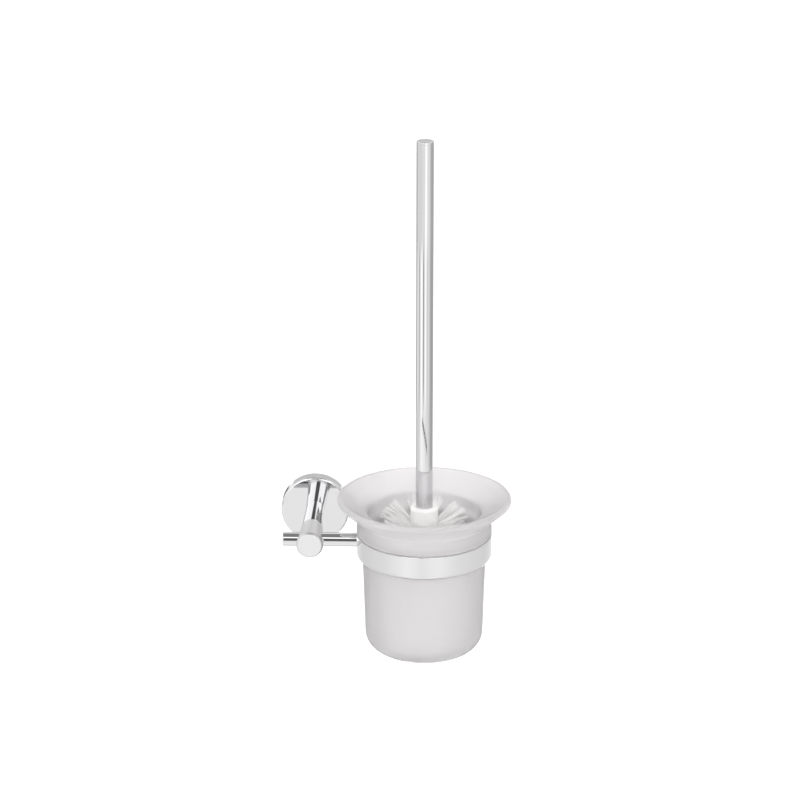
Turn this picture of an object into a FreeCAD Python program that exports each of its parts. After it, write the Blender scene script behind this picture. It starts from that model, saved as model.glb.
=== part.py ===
import FreeCAD, Part
import os
import re
import Sketcher

# A toilet brush holder for the wall, in millimetres.
#
# A round flange hides a bracket on the wall. A post stands out of it and ends in a flared head.
# A bar runs through the head to a ring, a frosted glass cup hangs in the ring, and a brush with
# a long tubular handle stands in the cup.
#
# The origin is the middle of the flange's back face, on the wall. +Z is up and the holder
# stands out of the wall towards -Y, so the wall is the plane y = 0. The bar is level with the
# post's axis, and levels are measured from that axis.

SIZES = {
    # wall flange and bracket
    "flange_radius": 25.0,
    "flange_depth": 9.65,
    "flange_wall": 1.6,
    "flange_edge_rounding": 1.2,
    "bracket_thickness": 7.0,
    "bracket_clearance": 0.1,
    "bracket_recess_radius": 8.0,
    "bracket_floor": 1.5,
    "bracket_hole_radius": 2.25,
    "bracket_hole_spacing": 28.0,
    "bracket_countersink": 2.0,
    "flange_grub_radius": 2.0,
    "flange_grub_length": 5.5,
    "flange_grub_recess": 0.4,
    "flange_grub_depth": 3.5,
    # post and the screw that holds it in the flange
    "post_back_radius": 6.8,
    "post_front_radius": 7.7,
    "post_screw_radius": 3.0,
    "post_screw_reach": 12.0,
    "post_screw_head_radius": 5.0,
    "post_screw_head_height": 3.2,
    "post_stud_radius": 4.0,
    "post_stud_length": 8.0,
    # flared head, with the place of the bar's axis in it
    "bar_in_head": 19.5,
    "head_length": 32.1,
    "head_front_radius": 9.65,
    "head_bevel": 1.7,
    "head_bevel_depth": 2.4,
    "head_edge_rounding": 0.6,
    "head_grub_radius": 2.0,
    "head_grub_recess": 0.8,
    # bar
    "bar_radius": 5.0,
    "bar_stub": 19.9,
    "arm_length": 33.1,
    "bar_end_rounding": 0.6,
    "bar_thread_depth": 11.0,
    # ring and its screw
    "ring_outer_radius": 48.3,
    "ring_wall": 1.8,
    "ring_top": 6.1,
    "ring_height": 17.65,
    "ring_corner_radius": 3.8,
    "ring_lip_flat": 0.2,
    "ring_edge_rounding": 0.4,
    "ring_screw_radius": 2.0,
    "ring_screw_head_radius": 3.5,
    "ring_screw_reach": 9.0,
    "ring_screw_sink": 0.05,
    # clear sleeve between ring and glass
    "sleeve_lip_setback": 0.9,
    "sleeve_lip": 0.5,
    # glass cup: the bulge is flush with the ring, the crease is set in from it, the rim flares out
    "glass_clearance": 0.3,
    "seat_gap": 0.2,
    "rim_flare": 13.45,
    "rim_from_wall": 5.75,
    "rim_level": 33.6,
    "rim_thickness": 3.2,
    "rim_rounding": 1.5,
    "crease_depth": 1.4,
    "crease_level": 17.7,
    "crease_rounding": 1.5,
    "bulge_level": 11.0,
    "bulge_rounding": 6.0,
    "shoulder_rounding": 1.2,
    "throat_level": 22.6,
    "throat_rounding": 3.0,
    "cup_height": 115.1,
    "cup_taper": 2.1,
    "cup_foot_rounding": 13.0,
    "cup_wall": 3.5,
    "cup_floor": 5.0,
    # brush, with levels measured up from the lowest bristle
    "brush_rest_gap": 0.3,
    "core_radius": 9.0,
    "core_below_rows": 8.0,
    "core_above_rows": 8.5,
    "core_end_rounding": 4.0,
    "row_pitch": 9.0,
    "row_count": 8,
    "tufts_per_row": 10,
    "tuft_fan": 28.0,
    "tuft_root_start": 6.0,
    "bristle_clearance": 6.5,
    "tuft_root_radius": 1.3,
    "tuft_tip_radius": 3.8,
    "collar_radius": 9.85,
    "collar_height": 12.0,
    "collar_floor": 2.0,
    "collar_rounding": 2.0,
    "stud_radius": 2.5,
    "stud_in_core": 14.0,
    "stud_in_insert": 10.0,
    # handle
    "tube_radius": 6.0,
    "tube_wall": 1.0,
    "tube_length": 275.3,
    "insert_length": 14.0,
    "cap_thickness": 2.0,
    "cap_plug_length": 8.0,
    "cap_rounding": 0.4,
    # fits
    "fit_clearance": 0.05,
}

document = FreeCAD.newDocument("brush_holder")
sheet = document.addObject("Spreadsheet::Sheet", "sizes")
for row, (alias, number) in enumerate(SIZES.items(), 1):
    sheet.set(f"A{row}", alias)
    sheet.set(f"B{row}", str(number))
    sheet.setAlias(f"B{row}", alias)
document.recompute()


def bound(words):
    """An expression over the sheet: every alias has two or more words, so functions stay as they are."""
    return re.sub(r"\b[a-z]+(_[a-z]+)+\b", lambda found: "sizes." + found.group(), words)


# Levels and radii that several pieces share, as expressions over the sheet.
FLANGE_FRONT = "-flange_depth"
BRACKET_RADIUS = "(flange_radius - flange_wall - bracket_clearance)"
RIM_RADIUS = "(ring_outer_radius + rim_flare)"
BAR_Y = "(-ring_outer_radius - rim_flare - rim_from_wall)"
POST_FRONT = f"({BAR_Y} + bar_in_head)"
HEAD_FRONT = f"({POST_FRONT} - head_length)"
RING_LEFT = "arm_length"
CUP_AXIS_X = "(arm_length + ring_outer_radius)"
RING_BOTTOM = "(ring_top - ring_height)"
RING_INNER = "(ring_outer_radius - ring_wall)"
RING_LIP = "(ring_outer_radius - ring_corner_radius - ring_lip_flat)"
SCREW_FACE = "(arm_length + ring_wall - ring_screw_sink)"
CUP_NECK = "(ring_outer_radius - ring_corner_radius - ring_lip_flat - glass_clearance)"
CUP_FOOT = f"({CUP_NECK} - cup_taper)"
CUP_THROAT = f"({CUP_NECK} - cup_wall)"
CUP_SHOULDER = "(ring_top + sleeve_lip + seat_gap)"
CUP_BASE = "(rim_level - cup_height)"
CUP_FLOOR = "(rim_level - cup_height + cup_floor)"
TUFT_REACH = f"({CUP_THROAT} - bristle_clearance)"
FIRST_ROW = f"({TUFT_REACH} * sin(tuft_fan) + tuft_tip_radius * cos(tuft_fan))"
CORE_TOP = f"({FIRST_ROW} + (row_count - 1) * row_pitch + core_above_rows)"
TUBE_FOOT = f"({CORE_TOP} + collar_floor)"
TUBE_TOP = f"({CORE_TOP} + collar_floor + tube_length)"

CUP_AXIS = {"x": CUP_AXIS_X, "y": BAR_Y}
BRUSH_FOOT = {**CUP_AXIS, "z": f"{CUP_FLOOR} + brush_rest_gap"}


def place(piece, where):
    for direction, words in where.items():
        piece.setExpression(f".Placement.Base.{direction}", bound(words))


def sketch_on(body, name, role):
    sketch = body.newObject("Sketcher::SketchObject", name)
    plane = next(f for f in body.Origin.OriginFeatures if f.Role == role)
    sketch.AttachmentSupport = [(plane, "")]
    sketch.MapMode = "FlatFace"
    return sketch


def fix_point(sketch, geometry, point, across, up):
    """Binds one point of the sketch to two expressions, or to an axis where the distance is nil."""
    for kind, words, axis in (("DistanceX", across, -2), ("DistanceY", up, -1)):
        if words == "0":
            sketch.addConstraint(Sketcher.Constraint("PointOnObject", geometry, point, axis))
            continue
        number = sketch.addConstraint(Sketcher.Constraint(kind, -1, 1, geometry, point, 1.0))
        sketch.setExpression(f"Constraints[{number}]", bound(words))


def outline(sketch, corners):
    """Draws a closed outline of straight lines through corners given as pairs of expressions."""
    count = len(corners)
    start = [FreeCAD.Vector(index, index * index, 0) for index in range(count)]
    for index in range(count):
        line = Part.LineSegment(start[index], start[(index + 1) % count])
        sketch.addGeometry(line, False)
    for index in range(count):
        joint = Sketcher.Constraint("Coincident", index, 2, (index + 1) % count, 1)
        sketch.addConstraint(joint)
    for index, (across, up) in enumerate(corners):
        fix_point(sketch, index, 1, across, up)


# For a piece turned about an axis: the sketch plane, the sketch's own axis, the axis itself.
LATHE = {
    "z": ("XZ_Plane", "V_Axis", FreeCAD.Vector(0, 0, 1)),
    "y": ("XY_Plane", "V_Axis", FreeCAD.Vector(0, 1, 0)),
    "x": ("XY_Plane", "H_Axis", FreeCAD.Vector(1, 0, 0)),
}


def turned(name, axis, corners, rounded=()):
    """A body turned about an axis. Corners are (radius, level); rounded is (corner numbers, radius)."""
    body = document.addObject("PartDesign::Body", name)
    role, sketch_axis, direction = LATHE[axis]
    sketch = sketch_on(body, name + "_outline", role)
    outline(sketch, [corner[::-1] for corner in corners] if axis == "x" else corners)
    piece = body.newObject("PartDesign::Revolution", name + "_turned")
    piece.Profile = sketch
    piece.ReferenceAxis = (sketch, [sketch_axis])
    piece.Angle = 360
    document.recompute()
    for group, (numbers, words) in enumerate(rounded, 1):
        edges = []
        for number in numbers:
            point = sketch.getPoint(number, 1)
            radius, level = (point.y, point.x) if axis == "x" else (point.x, point.y)
            edges += circles(body.Shape, radius, level, direction)
        dress(body, "PartDesign::Fillet", f"{name}_rounding_{group}", edges, "Radius", words)
    return body


def dress(body, kind, name, edges, size, words):
    """Rounds or chamfers named edges of the body's last feature."""
    base = body.Tip
    feature = body.newObject(kind, name)
    feature.Base = (base, edges)
    feature.setExpression(size, bound(words))
    document.recompute()


def circles(shape, radius, level, direction):
    """Names of the circular edges of that radius at that level along the direction."""
    names = []
    for number, edge in enumerate(shape.Edges, 1):
        curve = edge.Curve
        if curve.TypeId != "Part::GeomCircle" or abs(curve.Radius - radius) > 1e-4:
            continue
        if abs(curve.Center.dot(direction) - level) < 1e-4:
            names.append(f"Edge{number}")
    return names


def drill(body, name, role, centres, radius, both_ways=False):
    """Cuts round holes through everything, square to one of the body's own planes."""
    sketch = sketch_on(body, name + "_centres", role)
    for number, (across, up) in enumerate(centres):
        sketch.addGeometry(Part.Circle(FreeCAD.Vector(3 * number, 2, 0), FreeCAD.Vector(0, 0, 1), 1), False)
        fix_point(sketch, number, 3, across, up)
        size = sketch.addConstraint(Sketcher.Constraint("Radius", number, 1.0))
        sketch.setExpression(f"Constraints[{size}]", bound(radius))
    before = body.Shape.Volume
    pocket = body.newObject("PartDesign::Pocket", name)
    pocket.Profile = sketch
    pocket.Type = "ThroughAll"
    pocket.Midplane = both_ways
    document.recompute()
    if body.Shape.Volume > before - 1e-3:
        raise ValueError(f"{name} cuts nothing")
    return pocket


# Wall bracket: a thick round plate with a recess for the post's screw head, two countersunk
# holes for the wall screws and a hole in its edge that the flange's grub screw bites in.
wall_bracket = turned("wall_bracket", "y", [
    ("0", "-bracket_floor"),
    ("bracket_recess_radius", "-bracket_floor"),
    ("bracket_recess_radius", "-bracket_thickness"),
    (BRACKET_RADIUS, "-bracket_thickness"),
    (BRACKET_RADIUS, "0"),
    ("0", "0"),
])
drill(wall_bracket, "wall_screw_holes", "XZ_Plane", [
    ("bracket_hole_spacing / 2", "0"),
    ("-bracket_hole_spacing / 2", "0"),
], "bracket_hole_radius", both_ways=True)
front_rims = circles(
    wall_bracket.Shape, sheet.bracket_hole_radius, -sheet.bracket_thickness, FreeCAD.Vector(0, 1, 0)
)
dress(wall_bracket, "PartDesign::Chamfer", "countersinks", front_rims, "Size", "bracket_countersink")

# Flange: a drawn shell, open at the wall, with a hole in front for the post's screw.
wall_flange = turned("wall_flange", "y", [
    ("flange_radius", "0"),
    ("flange_radius", FLANGE_FRONT),
    ("post_screw_radius + fit_clearance", FLANGE_FRONT),
    ("post_screw_radius + fit_clearance", "flange_wall - flange_depth"),
    ("flange_radius - flange_wall", "flange_wall - flange_depth"),
    ("flange_radius - flange_wall", "0"),
], [([1], "flange_edge_rounding")])

# The flange's grub screw points up from the underside into the bracket's edge.
flange_grub_screw = turned("flange_grub_screw", "z", [
    ("0", "flange_grub_recess - flange_radius"),
    ("flange_grub_radius", "flange_grub_recess - flange_radius"),
    ("flange_grub_radius", "flange_grub_recess - flange_radius + flange_grub_length"),
    ("0", "flange_grub_recess - flange_radius + flange_grub_length"),
])
place(flange_grub_screw, {"y": "-flange_grub_depth"})
grub_centre = [("0", "-flange_grub_depth")]
grub_hole = "flange_grub_radius + fit_clearance"
drill(wall_flange, "flange_grub_hole", "XY_Plane", grub_centre, grub_hole)


def blind_bore(name, radius, low, high):
    """A cylinder along Z between two levels, kept as the tool that cuts a blind hole."""
    bore = document.addObject("Part::Cylinder", name)
    bore.setExpression("Radius", bound(radius))
    bore.setExpression("Height", bound(f"{high} - {low}"))
    place(bore, {"z": low})
    return bore


def cut(name, base, tool):
    piece = document.addObject("Part::Cut", name)
    piece.Base = base
    piece.Tool = tool
    return piece


wall_bracket.Label = "wall_bracket_blank"
grub_seat = blind_bore(
    "grub_seat", grub_hole, "-flange_radius",
    "(flange_grub_recess + flange_grub_length + fit_clearance - flange_radius)",
)
place(grub_seat, {"y": "-flange_grub_depth"})
bracket_with_seat = cut("bracket_with_seat", wall_bracket, grub_seat)

# Post: a slightly tapered rod, tapped behind for its screw, with a threaded stud in front.
post = turned("post", "y", [
    ("post_screw_radius + fit_clearance", FLANGE_FRONT),
    ("post_back_radius", FLANGE_FRONT),
    ("post_front_radius", POST_FRONT),
    ("post_stud_radius", POST_FRONT),
    ("post_stud_radius", f"{POST_FRONT} - post_stud_length"),
    ("0", f"{POST_FRONT} - post_stud_length"),
    ("0", f"{FLANGE_FRONT} - post_screw_reach - fit_clearance"),
    ("post_screw_radius + fit_clearance", f"{FLANGE_FRONT} - post_screw_reach - fit_clearance"),
])

# The post's screw: its pan head bears on the inside of the flange.
post_screw = turned("post_screw", "y", [
    ("0", "flange_wall - flange_depth + post_screw_head_height"),
    ("post_screw_head_radius", "flange_wall - flange_depth + post_screw_head_height"),
    ("post_screw_head_radius", "flange_wall - flange_depth"),
    ("post_screw_radius", "flange_wall - flange_depth"),
    ("post_screw_radius", f"{FLANGE_FRONT} - post_screw_reach"),
    ("0", f"{FLANGE_FRONT} - post_screw_reach"),
], [([1], "post_screw_head_height / 3")])

# Head: flares from the post's radius to a bevelled front disc. The stud screws in behind, and
# the bar passes through it from side to side.
post_head = turned("post_head", "y", [
    ("post_stud_radius + fit_clearance", POST_FRONT),
    ("post_front_radius", POST_FRONT),
    ("head_front_radius", f"{HEAD_FRONT} + head_bevel_depth"),
    ("head_front_radius - head_bevel", HEAD_FRONT),
    ("0", HEAD_FRONT),
    ("0", f"{POST_FRONT} - post_stud_length - fit_clearance"),
    ("post_stud_radius + fit_clearance", f"{POST_FRONT} - post_stud_length - fit_clearance"),
], [([2, 3], "head_edge_rounding")])
drill(post_head, "bar_hole", "YZ_Plane", [(BAR_Y, "0")], "bar_radius + fit_clearance", both_ways=True)
drill(post_head, "head_grub_hole", "XY_Plane", [("0", BAR_Y)], "head_grub_radius + fit_clearance")

# The head's grub screw stands under the bar and presses on it.
head_grub_screw = turned("head_grub_screw", "z", [
    ("0", "head_grub_recess - head_front_radius"),
    ("head_grub_radius", "head_grub_recess - head_front_radius"),
    ("head_grub_radius", "-bar_radius - fit_clearance"),
    ("0", "-bar_radius - fit_clearance"),
])
place(head_grub_screw, {"y": BAR_Y})

# Bar: rounded at its free end, tapped and coped to the ring's curve at the other.
bar_blank = turned("bar_blank", "x", [
    ("0", "-bar_stub"),
    ("bar_radius", "-bar_stub"),
    ("bar_radius", f"{RING_LEFT} + ring_wall"),
    ("ring_screw_radius + fit_clearance", f"{RING_LEFT} + ring_wall"),
    ("ring_screw_radius + fit_clearance", f"{RING_LEFT} - bar_thread_depth"),
    ("0", f"{RING_LEFT} - bar_thread_depth"),
], [([1], "bar_end_rounding")])
place(bar_blank, {"y": BAR_Y})
coping = blind_bore("coping", "ring_outer_radius", "(-2 * bar_radius)", "(2 * bar_radius)")
place(coping, CUP_AXIS)
crossbar = cut("crossbar", bar_blank, coping)

# Ring screw: its countersunk head lies flush in the ring's inner face.
ring_screw = turned("ring_screw", "x", [
    ("0", SCREW_FACE),
    ("ring_screw_head_radius", SCREW_FACE),
    ("ring_screw_radius", f"{SCREW_FACE} - ring_screw_head_radius + ring_screw_radius"),
    ("ring_screw_radius", f"{RING_LEFT} - ring_screw_reach"),
    ("0", f"{RING_LEFT} - ring_screw_reach"),
])
place(ring_screw, {"y": BAR_Y})

# Ring: a band whose lower edge rolls in under the glass, with a countersunk hole for its screw.
ring_band = turned("ring_band", "z", [
    (RING_LIP, RING_BOTTOM),
    ("ring_outer_radius", RING_BOTTOM),
    ("ring_outer_radius", "ring_top"),
    (RING_INNER, "ring_top"),
    (RING_INNER, f"{RING_BOTTOM} + ring_wall"),
    (RING_LIP, f"{RING_BOTTOM} + ring_wall"),
], [([1], "ring_corner_radius"), ([4], "ring_corner_radius - ring_wall"), ([2], "ring_edge_rounding")])
place(ring_band, CUP_AXIS)
screw_way = turned("screw_way", "x", [
    ("0", f"{SCREW_FACE} + ring_wall"),
    ("ring_screw_head_radius + ring_wall + fit_clearance", f"{SCREW_FACE} + ring_wall"),
    ("ring_screw_radius + fit_clearance", f"{SCREW_FACE} - ring_screw_head_radius + ring_screw_radius"),
    ("ring_screw_radius + fit_clearance", f"{RING_LEFT} - ring_wall"),
    ("0", f"{RING_LEFT} - ring_wall"),
])
place(screw_way, {"y": BAR_Y})
holder_ring = cut("holder_ring", ring_band, screw_way)

# Clear sleeve: lines the ring and turns out over its top edge, where the glass sits on it.
seat_sleeve = turned("seat_sleeve", "z", [
    (RING_LIP, f"{RING_BOTTOM} + ring_corner_radius"),
    (f"{RING_INNER} - fit_clearance", f"{RING_BOTTOM} + ring_corner_radius"),
    (f"{RING_INNER} - fit_clearance", "ring_top"),
    ("ring_outer_radius - sleeve_lip_setback", "ring_top"),
    ("ring_outer_radius - sleeve_lip_setback", "ring_top + sleeve_lip"),
    (RING_LIP, "ring_top + sleeve_lip"),
])
place(seat_sleeve, CUP_AXIS)

# Glass cup: a thick pressed cup with a dished rim, a crease under it and a bulge that hangs on
# the ring.
glass_cup = turned("glass_cup", "z", [
    ("0", CUP_BASE),
    (CUP_FOOT, CUP_BASE),
    (CUP_NECK, RING_BOTTOM),
    (CUP_NECK, CUP_SHOULDER),
    ("ring_outer_radius", CUP_SHOULDER),
    ("ring_outer_radius", "bulge_level"),
    ("ring_outer_radius - crease_depth", "crease_level"),
    (RIM_RADIUS, "rim_level - rim_thickness"),
    (RIM_RADIUS, "rim_level"),
    (f"{RIM_RADIUS} - rim_thickness", "rim_level"),
    (CUP_THROAT, "throat_level"),
    (CUP_THROAT, RING_BOTTOM),
    (f"{CUP_FOOT} - cup_wall", CUP_FLOOR),
    ("0", CUP_FLOOR),
], [
    ([1], "cup_foot_rounding"),
    ([12], "cup_foot_rounding - cup_wall"),
    ([4], "shoulder_rounding"),
    ([5], "bulge_rounding"),
    ([6], "crease_rounding"),
    ([7, 8, 9], "rim_rounding"),
    ([10], "throat_rounding"),
])
place(glass_cup, CUP_AXIS)


def tuft_row(number):
    """One row of tufts round the core. The rows fan out: the lowest points down, the highest up."""
    row = document.addObject("PartDesign::Body", f"bristle_row_{number}")
    row.AllowCompound = True
    tilt = f"(tuft_fan * (2 * {number - 1} / (row_count - 1) - 1))"
    tuft = row.newObject("PartDesign::AdditiveCone", f"tuft_{number}")
    tuft.setExpression("Radius1", bound("tuft_root_radius"))
    tuft.setExpression("Radius2", bound("tuft_tip_radius"))
    tuft.setExpression("Height", bound(f"{TUFT_REACH} - tuft_root_start"))
    tuft.Placement.Rotation = FreeCAD.Rotation(FreeCAD.Vector(0, 1, 0), 90)
    tuft.setExpression(".Placement.Rotation.Angle", bound(f"90 - {tilt}"))
    place(tuft, {"x": f"tuft_root_start * cos({tilt})", "z": f"tuft_root_start * sin({tilt})"})
    document.recompute()
    pattern = row.newObject("PartDesign::PolarPattern", f"tufts_round_{number}")
    pattern.Originals = [tuft]
    pattern.Axis = (next(f for f in row.Origin.OriginFeatures if f.Role == "Z_Axis"), [""])
    pattern.Angle = 360
    pattern.setExpression("Occurrences", bound("tufts_per_row"))
    row.Tip = pattern
    row.Placement.Rotation = FreeCAD.Rotation(FreeCAD.Vector(0, 0, 1), 1)
    row.setExpression(".Placement.Rotation.Angle", bound(f"180 / tufts_per_row * {number % 2}"))
    level = f"{FIRST_ROW} + {number - 1} * row_pitch"
    place(row, {**CUP_AXIS, "z": f"{BRUSH_FOOT['z']} + {level}"})
    return row


bristle_rows = [tuft_row(number) for number in range(1, int(sheet.row_count) + 1)]

# Core: a solid moulding with a tapped hole on top. Every tuft fills its own hole in it.
core_blank = turned("core_blank", "z", [
    ("0", f"{FIRST_ROW} - core_below_rows"),
    ("core_radius", f"{FIRST_ROW} - core_below_rows"),
    ("core_radius", CORE_TOP),
    ("stud_radius + fit_clearance", CORE_TOP),
    ("stud_radius + fit_clearance", f"{CORE_TOP} - stud_in_core - fit_clearance"),
    ("0", f"{CORE_TOP} - stud_in_core - fit_clearance"),
], [([1], "core_end_rounding")])
place(core_blank, BRUSH_FOOT)
all_tufts = document.addObject("Part::Compound", "all_tufts")
all_tufts.Links = bristle_rows
document.recompute()
brush_core = cut("brush_core", core_blank, all_tufts)

# Collar: a plastic cup round the tube's foot, clamped between the core and the tube.
handle_collar = turned("handle_collar", "z", [
    ("stud_radius + fit_clearance", CORE_TOP),
    ("collar_radius", CORE_TOP),
    ("collar_radius", f"{CORE_TOP} + collar_height"),
    ("tube_radius + fit_clearance", f"{CORE_TOP} + collar_height"),
    ("tube_radius + fit_clearance", TUBE_FOOT),
    ("stud_radius + fit_clearance", TUBE_FOOT),
], [([2], "collar_rounding")])

# Stud: joins the core to the insert in the tube.
brush_stud = turned("brush_stud", "z", [
    ("0", f"{CORE_TOP} - stud_in_core"),
    ("stud_radius", f"{CORE_TOP} - stud_in_core"),
    ("stud_radius", f"{TUBE_FOOT} + stud_in_insert"),
    ("0", f"{TUBE_FOOT} + stud_in_insert"),
])

# Insert: a threaded bush pressed in the tube's foot.
handle_insert = turned("handle_insert", "z", [
    ("stud_radius + fit_clearance", TUBE_FOOT),
    ("tube_radius - tube_wall - fit_clearance", TUBE_FOOT),
    ("tube_radius - tube_wall - fit_clearance", f"{TUBE_FOOT} + insert_length"),
    ("stud_radius + fit_clearance", f"{TUBE_FOOT} + insert_length"),
])

# Handle: a straight tube with a flat cap plugged in its top.
handle_tube = turned("handle_tube", "z", [
    ("tube_radius - tube_wall", TUBE_FOOT),
    ("tube_radius", TUBE_FOOT),
    ("tube_radius", TUBE_TOP),
    ("tube_radius - tube_wall", TUBE_TOP),
])
handle_cap = turned("handle_cap", "z", [
    ("0", f"{TUBE_TOP} - cap_plug_length"),
    ("tube_radius - tube_wall - fit_clearance", f"{TUBE_TOP} - cap_plug_length"),
    ("tube_radius - tube_wall - fit_clearance", TUBE_TOP),
    ("tube_radius", TUBE_TOP),
    ("tube_radius", f"{TUBE_TOP} + cap_thickness"),
    ("0", f"{TUBE_TOP} + cap_thickness"),
], [([4], "cap_rounding")])
for piece in (handle_collar, brush_stud, handle_insert, handle_tube, handle_cap):
    place(piece, BRUSH_FOOT)
document.recompute()

# The sub-parts, by the name of their node.
PIECES = {
    "wall_bracket": bracket_with_seat,
    "wall_flange": wall_flange,
    "flange_grub_screw": flange_grub_screw,
    "post": post,
    "post_screw": post_screw,
    "post_head": post_head,
    "head_grub_screw": head_grub_screw,
    "crossbar": crossbar,
    "ring_screw": ring_screw,
    "holder_ring": holder_ring,
    "seat_sleeve": seat_sleeve,
    "glass_cup": glass_cup,
    "handle_tube": handle_tube,
    "handle_cap": handle_cap,
    "handle_insert": handle_insert,
    "handle_collar": handle_collar,
    "brush_stud": brush_stud,
    "brush_core": brush_core,
    **{f"bristle_row_{number}": row for number, row in enumerate(bristle_rows, 1)},
}
for node, piece in PIECES.items():
    piece.Label = node

for thing in document.Objects:
    if "Invalid" in thing.State or "Error" in thing.State:
        raise RuntimeError(f"{thing.Name} did not build: {thing.State}")
for node, piece in PIECES.items():
    if piece.Shape.isNull() or not piece.Shape.isValid():
        raise RuntimeError(f"{node} has no valid shape")

os.makedirs("parts", exist_ok=True)
for node, piece in PIECES.items():
    piece.Shape.exportStep(f"parts/{node}.step")
    box = piece.Shape.BoundBox
    print(f"{node:18s} {len(piece.Shape.Solids):3d} solids {piece.Shape.Volume:10.1f} mm3"
          f"  x {box.XMin:7.2f} {box.XMax:7.2f}  y {box.YMin:7.2f} {box.YMax:7.2f}"
          f"  z {box.ZMin:7.2f} {box.ZMax:7.2f}")
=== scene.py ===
# %% [markdown]
# # A toilet brush holder on a wall
#
# The real thing is a small chrome fitting: a round flange on the wall, a post with a flared head,
# a bar through the head, a ring at the bar's end, a frosted glass cup in the ring and a brush with
# a long tubular handle in the cup. Almost every piece was turned on a lathe or pressed in a round
# mould, so this lesson makes one good lathe first and then turns the pieces on it, one by one.
#
# Its pieces already lie where they belong, so every size here is either read from their boxes or
# is a wall, an edge or a groove that a box can't tell.

# %% Load the frame
import math
import random

import bmesh
import bpy
from mathutils import Matrix, Vector


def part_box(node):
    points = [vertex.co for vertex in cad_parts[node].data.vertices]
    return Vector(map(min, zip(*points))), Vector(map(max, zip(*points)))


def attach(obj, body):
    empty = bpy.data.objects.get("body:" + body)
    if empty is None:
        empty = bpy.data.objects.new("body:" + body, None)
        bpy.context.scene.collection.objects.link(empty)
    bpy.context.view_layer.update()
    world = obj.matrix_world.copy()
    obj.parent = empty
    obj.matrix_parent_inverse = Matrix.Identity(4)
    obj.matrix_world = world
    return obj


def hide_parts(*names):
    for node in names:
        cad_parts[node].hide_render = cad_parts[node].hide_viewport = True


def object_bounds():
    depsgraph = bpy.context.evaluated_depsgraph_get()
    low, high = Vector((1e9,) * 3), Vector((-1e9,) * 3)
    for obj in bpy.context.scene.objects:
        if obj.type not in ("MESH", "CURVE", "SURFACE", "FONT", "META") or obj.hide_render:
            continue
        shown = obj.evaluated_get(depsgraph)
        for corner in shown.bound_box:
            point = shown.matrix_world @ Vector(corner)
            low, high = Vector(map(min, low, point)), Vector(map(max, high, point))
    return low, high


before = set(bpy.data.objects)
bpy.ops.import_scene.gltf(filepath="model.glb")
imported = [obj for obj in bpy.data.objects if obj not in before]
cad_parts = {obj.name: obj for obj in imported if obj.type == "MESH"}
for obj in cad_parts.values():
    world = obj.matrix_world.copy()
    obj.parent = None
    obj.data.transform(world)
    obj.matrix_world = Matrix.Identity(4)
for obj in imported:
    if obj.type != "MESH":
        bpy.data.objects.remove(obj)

cad_box = [list(corner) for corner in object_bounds()]
MM = 0.001


# %% [markdown]
# ## Reading sizes from the frame
#
# A turned piece needs three numbers: where its axis is, how wide it is and how far it reaches.
# All three are in its box. The middle of the box is on the axis, half its width is the radius, and
# its ends along the axis are its ends. A tessellated circle can miss a few hundredths of a
# millimetre, which doesn't matter for a look.

# %% Axes and extents
def middle(node):
    """The middle of a node's box."""
    low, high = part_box(node)
    return (low + high) / 2


def reach(node, along):
    """Lowest and highest coordinate of a node along X, Y or Z."""
    low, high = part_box(node)
    index = "XYZ".index(along)
    return low[index], high[index]


def radius_of(node, across):
    """Half the width of a node along X, Y or Z."""
    low, high = reach(node, across)
    return (high - low) / 2


cup_axis = middle("glass_cup").to_2d()
print("cup axis", [round(v, 4) for v in cup_axis])


# %% [markdown]
# ## The camera
#
# A small object is best looked at from far away through a long lens, because its upright lines
# then stay upright. Here the lens is 131 mm and the camera stands two metres away, higher than the
# object and a touch to its right, looking down by 19 degrees.

# %% Camera
LOOK_AT = Vector((0.0639, -0.0600, 0.1037))
CAMERA_DISTANCE = 2.06
CAMERA_DOWN = math.radians(19.3)
CAMERA_TURN = math.radians(-1.75)
CAMERA_LENS = 131.2
FILM_WIDTH = 36.0

look = Vector((
    math.sin(CAMERA_TURN) * math.cos(CAMERA_DOWN),
    math.cos(CAMERA_TURN) * math.cos(CAMERA_DOWN),
    -math.sin(CAMERA_DOWN),
))
camera = bpy.data.objects.new("camera", bpy.data.cameras.new("camera"))
camera.data.lens = CAMERA_LENS
camera.data.sensor_width = FILM_WIDTH
camera.location = LOOK_AT - look * CAMERA_DISTANCE
camera.rotation_euler = look.to_track_quat("-Z", "Y").to_euler()
bpy.context.scene.collection.objects.link(camera)
bpy.context.scene.camera = camera
bpy.context.scene.view_settings.view_transform = "Standard"
print("camera at", [round(v, 3) for v in camera.location])


# %% [markdown]
# ## Nodes without the mouse
#
# A material or a world is a small graph. One helper is enough to build any of them: it adds a
# node, sets its properties and its sockets, and joins the sockets that are given as other nodes'
# outputs. Colours are written as the hex values a colour picker shows, and one function turns
# them into the linear light that the renderer works in.
#
# The Mix node has several sockets of the same name, one set for each type of value. The sockets
# for its two colours and for the mixed colour are best given by their numbers.

# %% Node and colour helpers
COLOUR_A, COLOUR_B, MIXED_COLOUR = 6, 7, 2


def linear(hex_colour):
    """An sRGB hex colour such as C8C9CA as linear red, green, blue and alpha."""
    def channel(start):
        value = int(hex_colour[start:start + 2], 16) / 255
        return value / 12.92 if value <= 0.04045 else ((value + 0.055) / 1.055) ** 2.4
    return (channel(0), channel(2), channel(4), 1.0)


def add_node(tree, kind, sockets=None, **settings):
    """Adds a node. Sockets maps an input's name or number to a value or another node's output."""
    node = tree.nodes.new(kind)
    for key, value in settings.items():
        setattr(node, key, value)
    for key, value in (sockets or {}).items():
        if isinstance(value, bpy.types.NodeSocket):
            tree.links.new(value, node.inputs[key])
        else:
            node.inputs[key].default_value = value
    return node


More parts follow.
